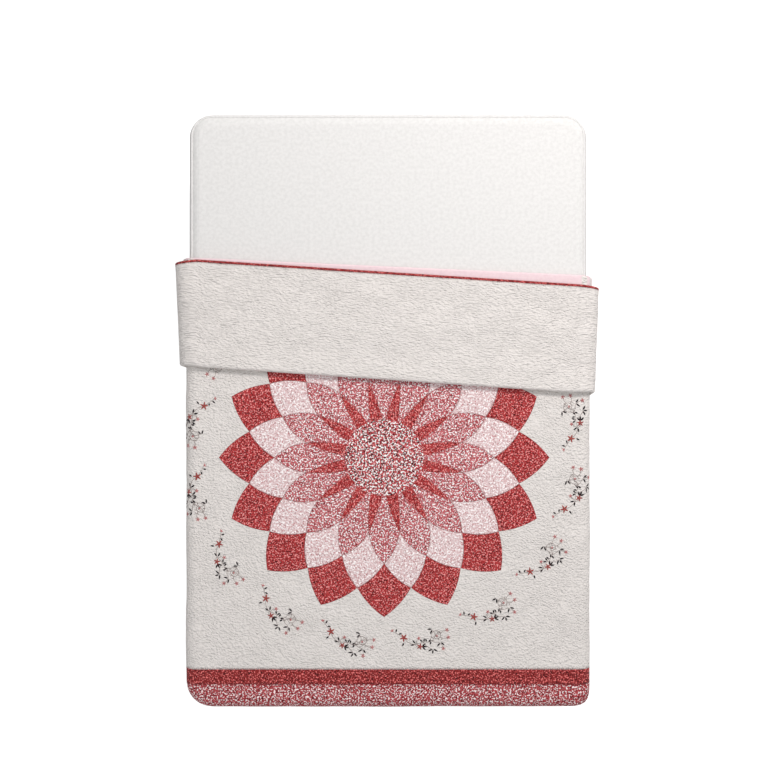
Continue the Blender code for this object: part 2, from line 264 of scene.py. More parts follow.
def add_piece(name, points, faces, material, uv=None):
    """A smooth mesh object at the origin, with its flat coordinates where its look follows the cloth."""
    piece = mesh_object(name, points, faces=faces)
    mesh = piece.data
    if uv is not None:
        layer = mesh.uv_layers.new(name="flat")
        corners = np.empty(len(mesh.loops), np.int32)
        mesh.loops.foreach_get("vertex_index", corners)
        layer.data.foreach_set("uv", np.asarray(uv, np.float32)[corners].ravel())
    mesh.update()
    mesh.shade_smooth()
    mesh.materials.append(material)
    return piece


def hand_over(piece, node=None):
    """Puts a finished piece on the one body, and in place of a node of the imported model."""
    if node:
        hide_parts(node)
    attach(piece, "root")
    return piece


def ring_faces(rings, count, closed=False):
    """Quads between rings of count points each, and back to the first ring where closed."""
    faces = []
    for ring in range(rings if closed else rings - 1):
        near, far = ring * count, (ring + 1) % rings * count
        faces += [(near + i, near + n, far + n, far + i) for i, n in zip(range(count), [*range(1, count), 0])]
    return faces


def rounded_outline(inset):
    """Points round the mattress's rounded rectangle, anticlockwise, drawn in by an inset."""
    radius = MATTRESS_CORNER - inset
    straight_x, straight_y = (float(BED_HIGH[axis]) - MATTRESS_CORNER for axis in (0, 1))
    points = []
    for sign_x, sign_y, start in ((1, 1, 0), (-1, 1, 90), (-1, -1, 180), (1, -1, 270)):
        for angle in np.radians(np.linspace(start, start + 90, MATTRESS_CORNER_STEPS + 1)):
            x = sign_x * straight_x + radius * math.cos(angle)
            y = sign_y * straight_y + radius * math.sin(angle)
            points.append((x, y))
    return points


def make_mattress():
    low, high = float(BED_LOW[2]), float(BED_HIGH[2])
    rings = []
    for angle in np.linspace(0, math.pi / 2, MATTRESS_EDGE_STEPS + 1):
        rings.append((MATTRESS_EDGE * (1 - math.sin(angle)), low + MATTRESS_EDGE * (1 - math.cos(angle))))
    rings += [(inset, high - (z - low)) for inset, z in reversed(rings)]
    points = [(x, y, z) for inset, z in rings for x, y in rounded_outline(inset)]
    count = len(points) // len(rings)
    faces = [tuple(range(count))[::-1], tuple(range(len(points) - count, len(points)))]
    faces += ring_faces(len(rings), count)
    piece = add_piece("mattress_cover", points, faces, ticking)
    piece.data.set_sharp_from_angle(angle=MATTRESS_SHARP)
    return piece


def sweep_tree():
    """A Geometry Nodes tree that sweeps a round cord along the mesh's edges."""
    inputs = {"Geometry": ("Geometry",), "Radius": ("Float",), "Sides": ("Int",), "Material": ("Material",)}
    tree, source, result = new_group("cord along edges", "Geometry", inputs, {"Geometry": "Geometry"})
    path = add_node(tree, "GeometryNodeMeshToCurve", {"Mesh": source["Geometry"]}).outputs["Curve"]
    profile = add_node(
        tree, "GeometryNodeCurvePrimitiveCircle", {"Radius": source["Radius"], "Resolution": source["Sides"]}
    )
    tube_inputs = {"Curve": path, "Profile Curve": profile.outputs["Curve"], "Fill Caps": True}
    tube = add_node(tree, "GeometryNodeCurveToMesh", tube_inputs)
    finish_tree(tree, tube.outputs["Mesh"], source["Material"], result)
    return tree


def finish_tree(tree, geometry, material, result):
    """Ends a Geometry Nodes tree in real geometry with its material."""
    real = add_node(tree, "GeometryNodeRealizeInstances", {"Geometry": geometry}).outputs["Geometry"]
    finished = add_node(tree, "GeometryNodeSetMaterial", {"Geometry": real, "Material": material})
    feed(tree, result, {"Geometry": finished.outputs["Geometry"]})


def run_tree(thing, tree, values):
    """Evaluates a tree on an object and returns its result as a plain mesh object in place of the first."""
    modifier = thing.modifiers.new("nodes", "NODES")
    modifier.node_group = tree
    sockets = {item.name: item.identifier for item in tree.interface.items_tree if item.in_out == "INPUT"}
    for name, value in values.items():
        modifier[sockets[name]] = value
    bpy.context.view_layer.update()
    mesh = bpy.data.meshes.new_from_object(thing.evaluated_get(bpy.context.evaluated_depsgraph_get()))
    name = thing.name
    thing.modifiers.remove(modifier)
    bpy.data.objects.remove(thing, do_unlink=True)
    mesh.name = name
    mesh.shade_smooth()
    return link_object(name, mesh)


cord_tree = sweep_tree()


def add_cords(name, lines, closed, radius, sides, material):
    """Round cords along lists of points, as one piece."""
    points, edges = [], []
    for line in lines:
        start = len(points)
        points += [tuple(p) for p in line]
        edges += [(start + i, start + i + 1) for i in range(len(line) - 1)]
        if closed:
            edges.append((start + len(line) - 1, start))
    values = {"Radius": radius, "Sides": sides, "Material": material}
    return run_tree(mesh_object(name, points, edges=edges), cord_tree, values)


TICKING = ((0.80, 0.79, 0.77), (0.74, 0.73, 0.71))
ticking = woven_cloth("mattress_ticking", "Object", *TICKING, threads=2600.0, depth=0.0004, roughness=0.9)
hand_over(make_mattress(), "mattress")

seam_drop = MATTRESS_EDGE * (1 - math.sqrt(0.5))
seam_outline = rounded_outline(seam_drop)
seam_levels = (float(BED_LOW[2]) + seam_drop, BED_TOP - seam_drop)
seam_loops = [[(x, y, level) for x, y in seam_outline] for level in seam_levels]
hand_over(add_cords("mattress_tape", seam_loops, True, TAPE_RADIUS, TAPE_SIDES, ticking))

# The backing: pale pink cotton, the whole reverse of the quilt, seen where the head end is turned back. It
# gives the cloth its way over the bed: flat on the mattress, over its edge, and down in soft uneven folds.
SPREAD_WIDTH = 2.438
SPREAD_LENGTH = 2.794
SPREAD_MIDDLE = (-0.013, -0.165)
BACKING_THICKNESS = 0.0012
TOP_THICKNESS = 0.0035
SEAM_GAP = 0.0003
BINDING_WIDTH = 0.009
CLOTH_THICKNESS = BACKING_THICKNESS + SEAM_GAP + TOP_THICKNESS
BED_CLEARANCE = 0.0008
MID_HEIGHT = BED_CLEARANCE + CLOTH_THICKNESS / 2
TURN_IN = 0.090
BEND = 0.034
SIDE_CLEARANCE = 0.0017
INSET_X = float(BED_HIGH[0]) - TURN_IN
INSET_Y = float(BED_HIGH[1]) - TURN_IN
FLAT_RUN = TURN_IN - BEND
BEND_RUN = math.pi / 2 * (BEND + MID_HEIGHT)
BEND_END = FLAT_RUN + BEND_RUN
CORNER_RUN = 0.25
STRIPE_TOP = -0.038
STRIPE_END = 0.014
BAND_END = 0.198
LAYER_PITCH = 0.009
FRONT_FOLD_RADIUS = 0.008
FOLD_DIP = 0.001
FRONT_FOLD_Y = 0.102
FLAP_WIDTH = 0.365
FRONT_SLANT = -0.068
FREE_SLANT = -0.065
BACK_SLANT = -0.045
FOLD_END_ROUNDING = 0.006
FLAP_SETTLES_IN = 0.090
HANG_AWAY = 0.010
FOLD_GROWTH = 1.2
BACK_FOLD_STEP = math.pi / 8
FRONT_FOLD_STEP = math.pi / 10
HIDDEN_RUN = 0.38
BEND_FINENESS = 0.8
LIE_RISE = 0.0022
BROAD_SWELL = 0.0015
FINE_SWELL = 0.0007
LONG_PUFF = 0.0003
BROAD_PUFF = 0.00025
LATTICE_SIDE = 97
LATTICE_START = 40.5
FOOT_HEM = SPREAD_LENGTH / 2 - (INSET_Y + SPREAD_MIDDLE[1]) - BINDING_WIDTH

# What differs between the left side and the right one: how square the foot corner is in plan (2 for a
# quarter circle), the folded layers' pitch and front radius where they hang, and how far the flap's free
# edge stands off there and leans towards the foot at the hem.
LEFT = {"squareness": 2.3, "pitch": 0.0115, "front_radius": 0.0060, "stands_off": 0.016, "lean": 0.130}
RIGHT = {"squareness": 4.0, "pitch": 0.0085, "front_radius": 0.0045, "stands_off": 0.015, "lean": 0.060}

# Each hanging fold: its place along the edge from the middle of the foot, its half width, how far it stands
# out at the hem, and the share of the drop above it that hangs straight.
FOLDS = [
    (-2.05, 0.17, 0.016, 0.10),
    (-1.72, 0.14, 0.030, 0.05),
    (-1.40, 0.16, 0.018, 0.15),
    (-1.12, 0.13, 0.034, 0.00),
    (-0.800, 0.090, 0.046, 0.00),
    (-0.710, 0.190, 0.040, 0.00),
    (-0.655, 0.085, 0.070, 0.04),
    (-0.36, 0.15, 0.026, 0.10),
    (-0.06, 0.14, 0.014, 0.20),
    (0.25, 0.16, 0.030, 0.05),
    (0.660, 0.092, 0.080, 0.00),
    (0.705, 0.190, 0.036, 0.00),
    (0.810, 0.080, 0.044, 0.06),
    (1.06, 0.13, 0.022, 0.10),
    (1.38, 0.17, 0.036, 0.00),
    (1.66, 0.12, 0.016, 0.20),
    (1.95, 0.15, 0.018, 0.05),
    (2.25, 0.14, 0.018, 0.10),
]


def stacked(*parts):
    return np.stack(parts, axis=-1)


def by_side(x, name):
    return np.where(x > 0, RIGHT[name], LEFT[name])


def ease(share):
    share = np.clip(share, 0.0, 1.0)
    return share * share * (3 - 2 * share)


def swing(along, share):
    """How far the hanging cloth stands out from the bed at a share of its drop."""
    out = HANG_AWAY * share
    for at, half_width, reach, start in FOLDS:
        near = np.clip((along - at) / half_width, -1.0, 1.0)
        grown = np.clip((share - start) / (1 - start), 0.0, None) ** FOLD_GROWTH
        out = out + reach * grown * (1 + np.cos(math.pi * near)) / 2
    return out


def hem_distance(x):
    """Flat distance from the inset line to the cloth's side edge, without its binding."""
    return SPREAD_WIDTH / 2 + np.sign(x) * SPREAD_MIDDLE[0] - INSET_X - BINDING_WIDTH


def drape(x, y, height):
    """Where the cloth's points lie, from bed coordinates and their height above the mattress."""
    x, y, height = np.broadcast_arrays(x, y, height)
    side = np.where(x < 0, -1.0, 1.0)
    beyond_x = np.maximum(np.abs(x) - INSET_X, 0.0)
    beyond_y = np.maximum(-INSET_Y - y, 0.0)
    beyond = np.hypot(beyond_x, beyond_y)
    turned = np.arctan2(beyond_x, beyond_y)
    base_x = side * np.minimum(np.abs(x), INSET_X)
    base_y = np.maximum(y, -INSET_Y)
    bend = np.clip((beyond - FLAT_RUN) / BEND_RUN, 0.0, 1.0) * math.pi / 2
    depth = np.maximum(beyond - BEND_END, 0.0)
    along = side * (np.abs(base_x) + CORNER_RUN * turned / (math.pi / 2) + (base_y + INSET_Y))
    longest = FOOT_HEM - BEND_END
    reach = swing(along, np.ones_like(along))
    power = by_side(x, "squareness")
    stretch = (np.sin(turned) ** power + np.cos(turned) ** power) ** (-1 / power)
    out = stretch * (np.minimum(beyond, FLAT_RUN) + (BEND + SIDE_CLEARANCE + height) * np.sin(bend))
    out = out + np.where(depth > 0, swing(along, np.minimum(depth / longest, 1.0)), 0.0)
    down = BEND - (BEND + height) * np.cos(bend) + depth * (1 - 0.5 * (reach / longest) ** 2)
    over = beyond > 0
    base_x = base_x + np.where(over, side * out * np.sin(turned), 0.0)
    base_y = base_y - np.where(over, out * np.cos(turned), 0.0)
    return stacked(base_x, base_y, BED_TOP - np.where(over, down, -height))


def lattice_noise(x, y, cell_x, cell_y, seed):
    """Smooth bumps from -1 to 1, as wide as the cells, the same on each run."""
    values = np.random.default_rng(seed).uniform(-1.0, 1.0, (LATTICE_SIDE, LATTICE_SIDE))
    u, v = x / cell_x + LATTICE_START, y / cell_y + LATTICE_START
    i, j = np.floor(u).astype(int), np.floor(v).astype(int)
    s, t = ease(u - i), ease(v - j)
    i0, i1, j0, j1 = (corner % LATTICE_SIDE for corner in (i, i + 1, j, j + 1))
    low = values[i0, j0] * (1 - s) + values[i1, j0] * s
    high = values[i0, j1] * (1 - s) + values[i1, j1] * s
    return low * (1 - t) + high * t


def lie(x, y):
    """How the cloth lies unevenly: broad low swells, wider than they are long, and never below the flat."""
    broad = lattice_noise(x + 0.1 * y, y, cell_x=0.31, cell_y=0.17, seed=3)
    fine = lattice_noise(x - 0.3 * y, y, cell_x=0.11, cell_y=0.06, seed=5)
    return LIE_RISE + BROAD_SWELL * broad + FINE_SWELL * fine


def pucker(x, y):
    """The small puffs between the quilting lines, wider than they are long."""
    long = lattice_noise(x + 0.15 * y, y, cell_x=0.040, cell_y=0.020, seed=11)
    broad = lattice_noise(x - 0.25 * y, y, cell_x=0.062, cell_y=0.026, seed=17)
    return LONG_PUFF * long + BROAD_PUFF * broad


def spread_steps(*stretches):
    """Places from stretches of (start, end, pitch), each divided evenly, without repeats at the joins."""
    places = []
    for start, end, pitch in stretches:
        count = max(1, round(abs(end - start) / pitch))
        places += [start + (end - start) * i / count for i in range(count)]
    places.append(stretches[-1][1])
    return np.array(places)


def cloth_columns(pitch, drop_pitch):
    """Flat places across the cloth, from its left side edge to its right one."""
    left, right = float(hem_distance(-1.0)), float(hem_distance(1.0))
    return spread_steps(
        (-INSET_X - left, -INSET_X - BEND_END, drop_pitch),
        (-INSET_X - BEND_END, -INSET_X - FLAT_RUN, pitch * BEND_FINENESS),
        (-INSET_X - FLAT_RUN, -INSET_X, pitch),
        (-INSET_X, INSET_X, pitch),
        (INSET_X, INSET_X + FLAT_RUN, pitch),
        (INSET_X + FLAT_RUN, INSET_X + BEND_END, pitch * BEND_FINENESS),
        (INSET_X + BEND_END, INSET_X + right, drop_pitch),
    )


def foot_points(x, row):
    """Flat places of the foot's rows, drawn in beyond the corners to a rounded corner."""
    beyond_x = np.maximum(np.abs(x) - INSET_X, 0.0)
    widest = hem_distance(x)
    half = math.sqrt(0.5)
    free_share = np.maximum(row - BAND_END, 0.0) / (FOOT_HEM - BAND_END)
    edge_y = np.minimum(row, BAND_END) + free_share * (half * FOOT_HEM - BAND_END)
    drawn_x = beyond_x * np.sqrt(1 - (np.maximum(edge_y, 0.0) / FOOT_HEM) ** 2)
    top_y = FOOT_HEM * np.sqrt(1 - (half * beyond_x / widest) ** 2)
    drawn_y = np.minimum(row, BAND_END) + free_share * (top_y - BAND_END)
    return np.sign(x) * (np.minimum(np.abs(x), INSET_X) + drawn_x), -INSET_Y - drawn_y


def flap_lines(x):
    """Where the back fold, the front fold and the free edge lie at each x."""
    beyond = np.maximum(np.abs(x) - INSET_X, 0.0)
    hanging = np.clip((beyond - FLAT_RUN) / hem_distance(x), 0.0, 1.0)
    rounding = FOLD_END_ROUNDING * ease((beyond - FLAT_RUN / 2) / BEND_RUN)
    lean = by_side(x, "lean") * hanging
    front = FRONT_FOLD_Y + FRONT_SLANT * x + rounding - lean / 2
    free = FRONT_FOLD_Y + FLAP_WIDTH + FREE_SLANT * x - lean
    turned_over = SPREAD_LENGTH - FOOT_HEM - BINDING_WIDTH - INSET_Y - FLAP_WIDTH
    back = (turned_over + FRONT_FOLD_Y) / 2 + BACK_SLANT * x
    return back, front, free - BINDING_WIDTH


def folded_rows(x, start, pitch, hidden_pitch):
    """The cloth's middle surface above the line start, as rows of (y, height) over the columns x."""
    beyond = np.maximum(np.abs(x) - INSET_X, 0.0)
    over = ease((beyond - FLAT_RUN) / BEND_RUN)
    gap = LAYER_PITCH + (by_side(x, "pitch") - LAYER_PITCH) * over
    front_radius = FRONT_FOLD_RADIUS + (by_side(x, "front_radius") - FRONT_FOLD_RADIUS) * over
    back, front, free = flap_lines(x)
    radius = gap / 2
    low = MID_HEIGHT + gap - FOLD_DIP
    high = low + 2 * front_radius
    middle = float(back.mean()) - start
    rows = []
    for share in spread_steps((0.0, 1.0, pitch / middle)):
        rows.append((start + (back - radius - start) * share, np.full_like(x, MID_HEIGHT)))
    for angle in spread_steps((-math.pi / 2, math.pi / 2, BACK_FOLD_STEP))[1:]:
        y = back - radius + radius * math.cos(angle)
        rows.append((y, MID_HEIGHT + radius + radius * math.sin(angle)))
    layer_start, layer_end = back - radius, front + front_radius
    for share in spread_steps((0.0, 1.0, hidden_pitch / HIDDEN_RUN))[1:]:
        y = layer_start + (layer_end - layer_start) * share
        near = ease(1 - (y - front) / FLAP_SETTLES_IN)
        rows.append((y, MID_HEIGHT + gap - FOLD_DIP * near))
    for angle in spread_steps((-math.pi / 2, math.pi / 2, FRONT_FOLD_STEP))[1:]:
        reach = front_radius * math.cos(angle)
        rows.append((front + front_radius - reach, low + front_radius * (1 + math.sin(angle))))
    settled = MID_HEIGHT + 2 * gap
    for share in spread_steps((0.0, 1.0, pitch / FLAP_WIDTH))[1:]:
        y = layer_end + (free - layer_end) * share
        near = ease(1 - (y - front) / FLAP_SETTLES_IN)
        lifted = over * by_side(x, "stands_off") * (y - front) / FLAP_WIDTH
        rows.append((y, settled + (high - settled) * near + lifted))
    return np.array([row[0] for row in rows]), np.array([row[1] for row in rows])


def offset_rows(y, height, offset):
    """The rows moved across the cloth by offset, positive towards its face."""
    run, rise = np.gradient(y, axis=0), np.gradient(height, axis=0)
    length = np.hypot(run, rise)
    return y - offset * rise / length, height + offset * run / length


def run_lengths(y, height):
    """Distance along the cloth from the first row."""
    step = np.hypot(np.diff(y, axis=0), np.diff(height, axis=0))
    return np.concatenate([np.zeros((1, y.shape[1])), np.cumsum(step, axis=0)])


def grid_faces(rows, columns, face_up=True):
    index = np.arange(rows * columns).reshape(rows, columns)
    quads = np.stack([index[:-1, :-1], index[:-1, 1:], index[1:, 1:], index[1:, :-1]], axis=-1).reshape(-1, 4)
    return (quads if face_up else quads[:, ::-1]).tolist()


def folded_surface(x, start, pitch, hidden_pitch, offset, relief):
    """Points and flat coordinates of the folded cloth above the line start, at an offset from its middle."""
    y, height = folded_rows(x, start, pitch, hidden_pitch)
    along = start + run_lengths(y, height)
    columns = np.broadcast_to(x, y.shape)
    moved = offset + relief(columns, along)
    y_out, height_out = offset_rows(y, height, moved)
    return drape(columns, y_out, height_out + lie(columns, y)), stacked(columns, along)


def foot_surface(x, rows, offset, relief):
    """Points and flat coordinates of the cloth's foot rows, from the lowest row up."""
    flat_x, flat_y = foot_points(x[None, :], np.asarray(rows)[:, None])
    moved = offset + relief(flat_x, flat_y)
    return drape(flat_x, flat_y, MID_HEIGHT + moved + lie(flat_x, flat_y)), stacked(flat_x, flat_y)


def no_relief(x, y):
    return np.zeros_like(x)


def add_cloth(name, points, uv, material, thickness):
    """A sheet of the cloth, from rows of points on its outer face, with its thickness inwards."""
    piece = add_piece(name, points.reshape(-1, 3), grid_faces(*points.shape[:2]), material, uv.reshape(-1, 2))
    solid = piece.modifiers.new("thickness", "SOLIDIFY")
    solid.thickness = thickness
    solid.offset = -1.0
    solid.use_even_offset = False
    return piece


BACKING_PITCH = 0.030
BACKING_ROW_PITCH = 0.020
BACKING_BEND_PITCH = 0.009
PALE_PINK = ((0.83, 0.66, 0.68), (0.79, 0.61, 0.64))
pale_backing = woven_cloth("pale_backing", "UV", *PALE_PINK, threads=3200.0, depth=0.0003, roughness=0.92)
coarse_columns = cloth_columns(BACKING_PITCH, BACKING_PITCH)
foot_rows = spread_steps(
    (FOOT_HEM, BAND_END, BACKING_PITCH),
    (BAND_END, BEND_END, BACKING_ROW_PITCH),
    (BEND_END, 0.0, BACKING_BEND_PITCH),
)
upper_face = BACKING_THICKNESS - CLOTH_THICKNESS / 2
foot_part, foot_uv = foot_surface(coarse_columns, foot_rows[:-1], upper_face, no_relief)
upper_part, upper_uv = folded_surface(
    coarse_columns, -INSET_Y, BACKING_ROW_PITCH, BACKING_PITCH, upper_face, no_relief
)
backing_points, backing_uv = np.concatenate([foot_part, upper_part]), np.concatenate([foot_uv, upper_uv])
backing = add_cloth("backing_cloth", backing_points, backing_uv, pale_backing, BACKING_THICKNESS)
hand_over(backing, "backing")

# The ground panel: ivory cotton over a thin filling, washed soft and quilted all over in a fine wandering
# line, so that it puckers. It runs from the stripe to the head edge, folded back on itself twice. The
# puckers are pulled wider on the flap, which starts at these lengths along the cloth.
FIELD_STRETCH = (0.84, 1.16, 1.0)
FLAP_STRETCH = (0.54, 1.50, 1.0)
FLAP_FROM = (0.78, 0.80)
WANDER = 0.035
CELL_SCALE = 0.8
CELL_SHARE = 0.6
# The puckers' heights between which the mask of painted shade in their dips fades out.
HOLLOW_SHADE_FROM = (0.05, 0.32)


def make_quilting_group():
    """The puckers' height, for a bump, and a mask of where they dip at their stitched lines, for painted
    shade.
    """
    inputs = {"Vector": ("Vector",), "Scale": ("Float", 60.0)}
    group, source, result = new_group("quilting", "Shader", inputs, {"Height": "Float", "Hollows": "Float"})
    drift = noise(group, source["Vector"], scale=9.0, detail=1.0)
    pushed = vector_math(group, "SCALE", {0: drift.outputs["Color"], "Scale": WANDER})
    moved = vector_math(group, "ADD", {0: source["Vector"], 1: pushed})
    along = add_node(group, "ShaderNodeSeparateXYZ", {0: source["Vector"]}).outputs["Y"]
    stretch_inputs = {"Factor": map_range(group, along, *FLAP_FROM), 4: FIELD_STRETCH, 5: FLAP_STRETCH}
    stretch = add_node(group, "ShaderNodeMix", stretch_inputs, data_type="VECTOR").outputs[1]
    wide = vector_math(group, "MULTIPLY", {0: moved, 1: stretch})
    puffs = noise(group, wide, source["Scale"], 3.0, Roughness=0.45)
    cell_scale = math_node(group, "MULTIPLY", source["Scale"], CELL_SCALE)
    cell_inputs = {"Vector": wide, "Smoothness": 0.6, "Scale": cell_scale}
    cells = add_node(group, "ShaderNodeTexVoronoi", cell_inputs, feature="SMOOTH_F1")
    rounded = math_node(group, "MULTIPLY", cells.outputs["Distance"], CELL_SHARE)
    both = math_node(group, "SUBTRACT", puffs.outputs["Fac"], rounded)
    feed(group, result, {"Height": both, "Hollows": map_range(group, both, *HOLLOW_SHADE_FROM, 1.0, 0.0)})
    return group


quilting_group = make_quilting_group()
IVORY = (0.806, 0.760, 0.726)
# Painted shade: a darker ivory, mixed in by its own share where the quilting dips.
IVORY_HOLLOW_SHADE = (0.73, 0.69, 0.64)
IVORY_WARM = (0.79, 0.74, 0.69)
HOLLOW_SHADE_SHARE = 0.30
WARM_SHARE = 0.25


def add_quilting(tree, shader, scale, depth):
    """Puts the quilting's bump and a fine weave on a shader. Returns its place and its mask for painted
    shade.
    """
    place = add_node(tree, "ShaderNodeTexCoord").outputs["UV"]
    quilting = use_group(tree, quilting_group, {"Scale": scale, "Vector": place})
    weave = use_group(tree, weave_group, {"Threads": 3600.0, "Vector": place})
    puffs = add_bump(tree, quilting["Height"], strength=1.0, distance=depth)
    threads = add_bump(tree, weave["Height"], strength=0.25, distance=0.0003, Normal=puffs)
    feed(tree, shader, {"Normal": threads})
    return place, quilting["Hollows"]


def ivory_quilt():
    material, tree, shader = new_material("ivory_quilt", roughness=0.88, sheen=0.15)
    place, hollow_shade = add_quilting(tree, shader, scale=168.0, depth=0.0068)
    # Painted shade: the darker ivory where the quilting dips.
    tone = mix_colour(tree, math_node(tree, "MULTIPLY", hollow_shade, HOLLOW_SHADE_SHARE), IVORY, IVORY_HOLLOW_SHADE)
    drift = noise(tree, place, scale=3.0, detail=2.0).outputs["Fac"]
    warmed = mix_colour(tree, math_node(tree, "MULTIPLY", drift, WARM_SHARE), tone, IVORY_WARM)
    feed(tree, shader, {"Base Color": warmed})
    return material


ivory = ivory_quilt()
PUCKER_ROOM = 0.0008
FINE_PITCH = 0.0096
DROP_PITCH = 0.020
HIDDEN_PITCH = 0.034
face_columns = cloth_columns(FINE_PITCH, DROP_PITCH)
face = CLOTH_THICKNESS / 2
ground_points, ground_uv = folded_surface(
    face_columns, -INSET_Y - STRIPE_TOP, FINE_PITCH, HIDDEN_PITCH, face, pucker
)
ground = add_cloth("ground_quilt", ground_points, ground_uv, ivory, TOP_THICKNESS - PUCKER_ROOM)
hand_over(ground, "ground_panel")

# The foot: a dark red print stripe and a pink print band pieced in across it, then an ivory panel down to
# the hem. The prints are plain flecks and curling lines, since the real ones are too small to read as more.
CURL_SOFTNESS = 0.04
FLECK_CORE = 0.8
DARKER_FLECKS_FROM = 0.42
# How far the prints darken towards their dark fleck tone where the quilting dips: painted shade.
PRINT_HOLLOW_SHADE_SHARE = 0.15
STRIPE_PITCH = 0.0085


def make_print_group():
    """Masks for a small print: curling light lines, scattered dark flecks, and a tone for each fleck."""
    inputs = {"Vector": ("Vector",), "Scale": ("Float", 150.0)}
    inputs |= {"Curl Start": ("Float", 0.56), "Fleck Size": ("Float", 0.30)}
    outputs = {"Curls": "Float", "Flecks": "Float", "Tone": "Float"}
    group, source, result = new_group("small print", "Shader", inputs, outputs)
    curl_start, fleck_size = source["Curl Start"], source["Fleck Size"]
    lines = noise(group, source["Vector"], source["Scale"], 0.0, Distortion=0.6).outputs["Fac"]
    curls = map_range(group, lines, curl_start, math_node(group, "ADD", curl_start, CURL_SOFTNESS))
    spot_inputs = {"Vector": source["Vector"], "Scale": source["Scale"]}
    spots = add_node(group, "ShaderNodeTexVoronoi", spot_inputs).outputs
    fleck_core = math_node(group, "MULTIPLY", fleck_size, FLECK_CORE)
    flecks = map_range(group, spots["Distance"], fleck_core, fleck_size, 1.0, 0.0)
    tone = add_node(group, "ShaderNodeSeparateColor", {"Color": spots["Color"]}).outputs["Red"]
    feed(group, result, {"Curls": curls, "Flecks": flecks, "Tone": tone})
    return group


print_group = make_print_group()


def printed_cloth(name, tones, scale, curl_start, fleck_size):
    """A quilted cotton with a small print: its ground, its curling lines, its flecks in two tones, and
    painted shade.
    """
    ground_tone, curl_tone, fleck_tone, other_tone = tones
    material, tree, shader = new_material(name, roughness=0.86, sheen=0.1)
    place, hollow_shade = add_quilting(tree, shader, scale=175.0, depth=0.0036)
    inputs = {"Vector": place, "Scale": scale, "Curl Start": curl_start, "Fleck Size": fleck_size}
    pattern = use_group(tree, print_group, inputs)
    which = math_node(tree, "GREATER_THAN", pattern["Tone"], DARKER_FLECKS_FROM)
    fleck_colour = mix_colour(tree, which, other_tone, fleck_tone)
    flecked = mix_colour(tree, pattern["Flecks"], ground_tone, fleck_colour)
    curled = mix_colour(tree, pattern["Curls"], flecked, curl_tone)
    # Painted shade: towards the dark fleck tone where the quilting dips.
    shaded = mix_colour(tree, math_node(tree, "MULTIPLY", hollow_shade, PRINT_HOLLOW_SHADE_SHARE), curled, fleck_tone)
    feed(tree, shader, {"Base Color": shaded})
    return material


WHITE = (1.0, 0.94, 0.93)
RED_TONES = ((0.44, 0.036, 0.038), (0.90, 0.32, 0.31), (0.035, 0.002, 0.003), (0.09, 0.005, 0.007))
PINK_TONES = ((0.57, 0.135, 0.150), WHITE, (0.20, 0.016, 0.020), (0.05, 0.004, 0.006))
PALE_TONES = ((0.76, 0.58, 0.58), WHITE, (0.50, 0.17, 0.18), (0.36, 0.20, 0.20))
DISC_TONES = ((0.57, 0.085, 0.095), (1.0, 0.97, 0.95), (0.012, 0.001, 0.002), (0.05, 0.004, 0.006))
STRIPE_TONES = ((0.28, 0.022, 0.022), (0.86, 0.20, 0.19), (0.025, 0.001, 0.002), (0.07, 0.004, 0.005))
BAND_TONES = ((0.45, 0.062, 0.070), (1.0, 0.82, 0.81), (0.06, 0.004, 0.006), (0.14, 0.010, 0.014))

red_print = printed_cloth("red_print", RED_TONES, 205.0, 0.59, 0.44)
pink_print = printed_cloth("pink_print", PINK_TONES, 205.0, 0.565, 0.44)
pale_print = printed_cloth("pale_print", PALE_TONES, 170.0, 0.55, 0.36)
disc_print = printed_cloth("disc_print", DISC_TONES, 180.0, 0.555, 0.52)
stripe_print = printed_cloth("stripe_print", STRIPE_TONES, 195.0, 0.59, 0.42)
band_print = printed_cloth("band_print", BAND_TONES, 195.0, 0.575, 0.44)


def add_foot_piece(name, rows, material, node):
    points, uv = foot_surface(face_columns, rows, face, pucker)
    piece = add_cloth(name, points, uv, material, TOP_THICKNESS - PUCKER_ROOM)
    hand_over(piece, node)


stripe_rows = spread_steps((STRIPE_END, STRIPE_TOP + SEAM_GAP, STRIPE_PITCH))
band_rows = spread_steps((BAND_END, BEND_END, DROP_PITCH), (BEND_END, STRIPE_END + SEAM_GAP, STRIPE_PITCH))
panel_rows = spread_steps((FOOT_HEM, BAND_END + SEAM_GAP, DROP_PITCH))
add_foot_piece("foot_stripe_print", stripe_rows, stripe_print, "foot_stripe")
add_foot_piece("foot_band_print", band_rows, band_print, "foot_band")
add_foot_piece("foot_quilt", panel_rows, ivory, "foot_panel")

# The binding: a strip of the dark red print folded over the raw edge all round, and sewn down on both sides.
# Its profile is given as (out from the cloth's edge, height over the cloth's middle).
EDGE_PITCH = 0.016
COARSE_PITCH = 0.2
PROFILE_STEP = 0.004
FOOT_EDGE_START = 0.006
BINDING_PROFILE = [
    *((0.0003, 0.0029), (0.0030, 0.0031), (0.0064, 0.0028), (0.0084, 0.0016), (0.0090, 0.0)),
    *((0.0084, -0.0016), (0.0064, -0.0027), (0.0030, -0.0029), (0.0003, -0.0027)),
]


def binding_side(side, beyond, height):
    """One side's edge from the inset line up through the folds to the free edge, at a profile point."""
    x = np.array([side * (INSET_X + float(hem_distance(side)) + beyond)])
    y, level = folded_rows(x, -INSET_Y, EDGE_PITCH, EDGE_PITCH)
    y, level = offset_rows(y, level, height)
    columns = np.broadcast_to(x, y.shape)
    return drape(columns, y, level + lie(columns, y))[:, 0]


